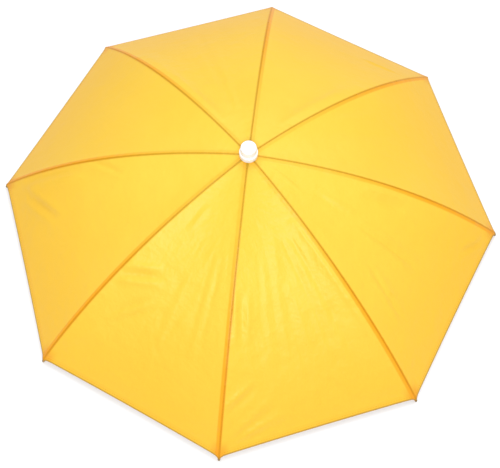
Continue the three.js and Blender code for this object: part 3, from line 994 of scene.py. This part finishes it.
# Stitching on the canopy
# The row that a seam's stitches start at, and the row of the hem's, 3 mm in, counted from the end
SEAM_START_ROW = 4
HEM_STITCH_ROW = 4
TIE_REACHES = (160 * MM, 232 * MM)


def seam_stitches():
    """Stitches down the middle of each seam, a little above its furrow."""
    raised = Vector((0, 0, 0.08 * MM))
    rows = range(SEAM_START_ROW, canopy_top.shape[1] - 2)
    paths = [([Vector(canopy_top[column, row]) + raised for row in rows], False) for column in SEAM_COLUMNS]
    sizes = {"Spacing": 3.0 * MM, "Stitch length": 2.5 * MM, "Thickness": 0.45 * MM}
    return modelled("seam_stitches", paths, STITCH_ROW, sizes, YELLOW_THREAD, "canopy_cloth")


def hem_stitches():
    """Stitches round the hem, in the middle of its width."""
    raised = Vector((0, 0, 0.03 * MM))
    row = canopy_top.shape[1] - HEM_STITCH_ROW
    path = [Vector(column[row]) + raised for column in canopy_top]
    sizes = {"Spacing": 3.0 * MM, "Stitch length": 2.3 * MM, "Thickness": 0.35 * MM}
    return modelled("hem_stitches", [(path, True)], STITCH_ROW, sizes, YELLOW_THREAD, "canopy_cloth")


def thread_turns(rib, middle, tilt, places, high, around):
    """Turns of thread round a rib, each a closed loop square to it, and higher above it than around it."""
    steps, wander = 18, 0.3 * MM
    along = Vector((math.cos(tilt), -math.sin(tilt)))
    across = Vector((math.sin(tilt), math.cos(tilt)))
    loops = []
    for turn, place in enumerate(places):
        loop = []
        for step in range(steps):
            angle = 2 * math.pi * step / steps
            up = (high if math.cos(angle) > 0 else around) * math.cos(angle)
            shift = place + wander * math.sin(angle + turn)
            point = middle + across * up + along * shift
            loop.append(at_rib(rib, *point, around * math.sin(angle)))
        loops.append((loop, True))
    return loops


def tying_threads():
    """Thread that sews each corner of the cloth to its tip, and each seam to its rib at two places."""
    corner_places = (1.3 * MM, 1.9 * MM, 2.5 * MM)
    seam_places = (-0.5 * MM, 0.0, 0.5 * MM)
    loops = []
    for rib in range(RIBS):
        loops += thread_turns(rib, RIB_END, RIB_END_TILT, corner_places, 2.4 * MM, 1.75 * MM)
        for reach in TIE_REACHES:
            tilt = math.atan(seam_shape(reach)[1])
            loops += thread_turns(rib, under_seam(reach), tilt, seam_places, 2.3 * MM, 1.3 * MM)
    sizes = {"Radius": 0.2 * MM, "Sides": 6}
    return modelled("tying_threads", loops, ROUND_WIRE, sizes, YELLOW_THREAD, "canopy_cloth")


sewing = [seam_stitches(), hem_stitches(), tying_threads()]


# The headband
TAPE_STEPS = 256
SLEEVE_WIDTH = 15 * MM
SLEEVE_CLOTH = 0.6 * MM
SLEEVE_SEAT = 0.12 * MM
SLEEVE_FOOT = 5.5 * MM


def band_ring():
    """A woven elastic ring: rolled edges, and a low cord every pitch up its height."""
    roll_width, edge_width = 1.2 * MM, 0.9 * MM
    height = BAND_HIGH - BAND_LOW
    ups = np.linspace(0, height, 81)
    cords = 0.14 * MM * np.cos(2 * math.pi * ups / ELASTIC_PITCH)
    rolled = 0.3 * MM * (np.exp(-(ups / roll_width) ** 2) + np.exp(-((height - ups) / roll_width) ** 2))
    round_off = edge_width * (smooth(ups, edge_width, 0) ** 2 + smooth(height - ups, edge_width, 0) ** 2)
    outer = BAND_OUTSIDE - 0.35 * MM + cords + rolled - round_off
    inner = BAND_INSIDE + 0.2 * MM - cords - rolled + round_off
    section = list(zip(outer, ups)) + list(zip(inner[::-1], ups[::-1]))
    vertices, faces, marks = [], [], []
    for step in range(TAPE_STEPS):
        angle = 2 * math.pi * step / TAPE_STEPS
        for radius, up in section:
            vertices.append((radius * math.cos(angle), radius * math.sin(angle), BAND_LOW + up))
    count = len(section)
    for step in range(TAPE_STEPS):
        here, there = step * count, (step + 1) % TAPE_STEPS * count
        for place in range(count):
            after = (place + 1) % count
            faces.append((here + place, there + place, there + after, here + after))
            for turn, corner in ((step, place), (step + 1, place), (step + 1, after), (step, after)):
                length = turn / TAPE_STEPS * 2 * math.pi * BAND_INSIDE
                marks += [length, section[corner][1]]
    piece = new_piece("elastic_band", vertices, faces)
    piece.data.uv_layers.new(name="tape").data.foreach_set("uv", marks)
    return finished(piece, ELASTIC, "band_elastic", "headband", sharp=80)


def beside_rib(rib, angle, out, up):
    """A point at a reach from the axis and a height, turned from a rib by an angle."""
    return at_rib(rib, out * math.cos(angle), up, out * math.sin(angle))


def slab_faces(base, columns, rows):
    """Faces of a slab whose outer layer of points, column by column, comes before its inner layer."""
    inner = columns * rows
    grid = [[base + column * rows + row for row in range(rows)] for column in range(columns)]
    rims = [grid[0], [column[-1] for column in grid], grid[-1][::-1], [column[0] for column in grid][::-1]]
    faces = []
    for left, right in zip(grid, grid[1:]):
        for row in range(rows - 1):
            quad = (left[row], right[row], right[row + 1], left[row + 1])
            faces += [quad, tuple(inner + place for place in reversed(quad))]
    for rim in rims:
        faces += [(start, end, inner + end, inner + start) for start, end in zip(rim, rim[1:])]
    return faces


def sleeve_tunnels():
    """Tape sewn over each leg: flat at its sides and bulged over the wire between them."""
    sides = np.linspace(-SLEEVE_WIDTH / 2, SLEEVE_WIDTH / 2, 31)
    ups = np.linspace(0, BAND_HIGH - BAND_LOW - 7 * MM, 25)
    bulge = 2.1 * MM * np.exp(-(np.abs(sides) / (2.5 * MM)) ** 2.6)
    opened = [float(smooth(up, 0.5 * MM, 4 * MM)) for up in ups]
    vertices, faces = [], []
    for rib in range(RIBS):
        faces += slab_faces(len(vertices), len(sides), len(ups))
        for layer in (SLEEVE_CLOTH, 0.0):
            for side, lift in zip(sides, bulge):
                angle = side / BAND_OUTSIDE
                for up, share in zip(ups, opened):
                    out = BAND_OUTSIDE + SLEEVE_SEAT + lift * share + layer
                    vertices.append(beside_rib(rib, angle, out, BAND_LOW + SLEEVE_FOOT + up))
    piece = new_piece("leg_sleeves", vertices, faces)
    work = bmesh.new()
    work.from_mesh(piece.data)
    bmesh.ops.recalc_face_normals(work, faces=work.faces)
    work.to_mesh(piece.data)
    work.free()
    tape = piece.data.uv_layers.new(name="tape")
    for loop in piece.data.loops:
        point = piece.data.vertices[loop.vertex_index].co
        tape.data[loop.index].uv = (point.z, math.atan2(point.y, point.x) * BAND_OUTSIDE)
    return finished(piece, ELASTIC, "band_elastic", sharp=60)


def band_stitches():
    """Stitches down both sides and along the foot of each sleeve."""
    edge = SLEEVE_WIDTH / 2 - 1.6 * MM
    out = BAND_OUTSIDE + SLEEVE_SEAT + SLEEVE_CLOTH
    low, high = BAND_LOW + 7 * MM, BAND_HIGH - 2.5 * MM
    shares = np.linspace(0, 1, 9)
    outline = [(-edge, high - (high - low) * s) for s in shares]
    outline += [(-edge + 2 * edge * s, low) for s in shares[1:]]
    outline += [(edge, low + (high - low) * s) for s in shares[1:]]
    paths = [([beside_rib(rib, side / out, out, up) for side, up in outline], False) for rib in range(RIBS)]
    sizes = {"Spacing": 2.6 * MM, "Stitch length": 2.0 * MM, "Thickness": 0.4 * MM}
    return modelled("band_stitches", paths, STITCH_ROW, sizes, WHITE_THREAD, "band_elastic")


band = band_ring()
sleeve_tunnels()
band_stitches()


# Floor, light and camera
def stage():
    """A pale floor, far wider than the picture."""
    half = 4.0
    corners = [(-half, -half, 0), (half, -half, 0), (half, half, 0), (-half, half, 0)]
    floor = new_piece("floor", corners, [(0, 1, 2, 3)])
    finish = Finish("pale_floor")
    floor.data.materials.append(finish.close(finish.surface(Base_Color=linear("#f7f7f7"), Roughness=0.9)))


def area_light(name, place, aim, size, power):
    light = bpy.data.lights.new(name, "AREA")
    light.shape = "SQUARE"
    light.size = size
    light.energy = power
    lamp = in_scene(name, light)
    lamp.location = place
    lamp.rotation_euler = (Vector(aim) - Vector(place)).to_track_quat("-Z", "Y").to_euler()


def lighting():
    """White light from all round, with a key light in front and above, and a fill light behind."""
    dome = (0, 0, 0.05)
    scene = bpy.context.scene
    world = bpy.data.worlds.new("soft_studio")
    world.use_nodes = True
    background = world.node_tree.nodes["Background"]
    background.inputs["Color"].default_value = (1.0, 1.0, 1.0, 1.0)
    background.inputs["Strength"].default_value = 0.46
    scene.world = world
    area_light("key", (0.1, -1.25, 2.15), dome, size=0.85, power=39)
    area_light("fill", (0.15, 1.4, 2.0), dome, size=2.0, power=28)
    scene.view_settings.view_transform = "Standard"
    scene.view_settings.look = "None"


def camera():
    """The photograph's view: a camera high in front, about 3.4 tip reaches from where it aims."""
    place = Vector((0.1486, -1.4487, 3.2706)) * TIP_REACH
    aim = Vector((0.0238, -0.1626, 0.15)) * TIP_REACH
    roll = math.radians(0.592)
    back = (place - aim).normalized()
    right = Vector((0, 0, 1)).cross(back).normalized()
    up = back.cross(right)
    turned_right = right * math.cos(roll) + up * math.sin(roll)
    turned_up = up * math.cos(roll) - right * math.sin(roll)
    facing = Matrix((turned_right, turned_up, back)).transposed().to_4x4()
    lens = bpy.data.cameras.new("camera")
    lens.sensor_width = 36
    lens.sensor_fit = "HORIZONTAL"
    lens.lens = 63.45
    view = in_scene("camera", lens)
    view.matrix_world = Matrix.Translation(place) @ facing
    bpy.context.scene.camera = view


stage()
lighting()
camera()
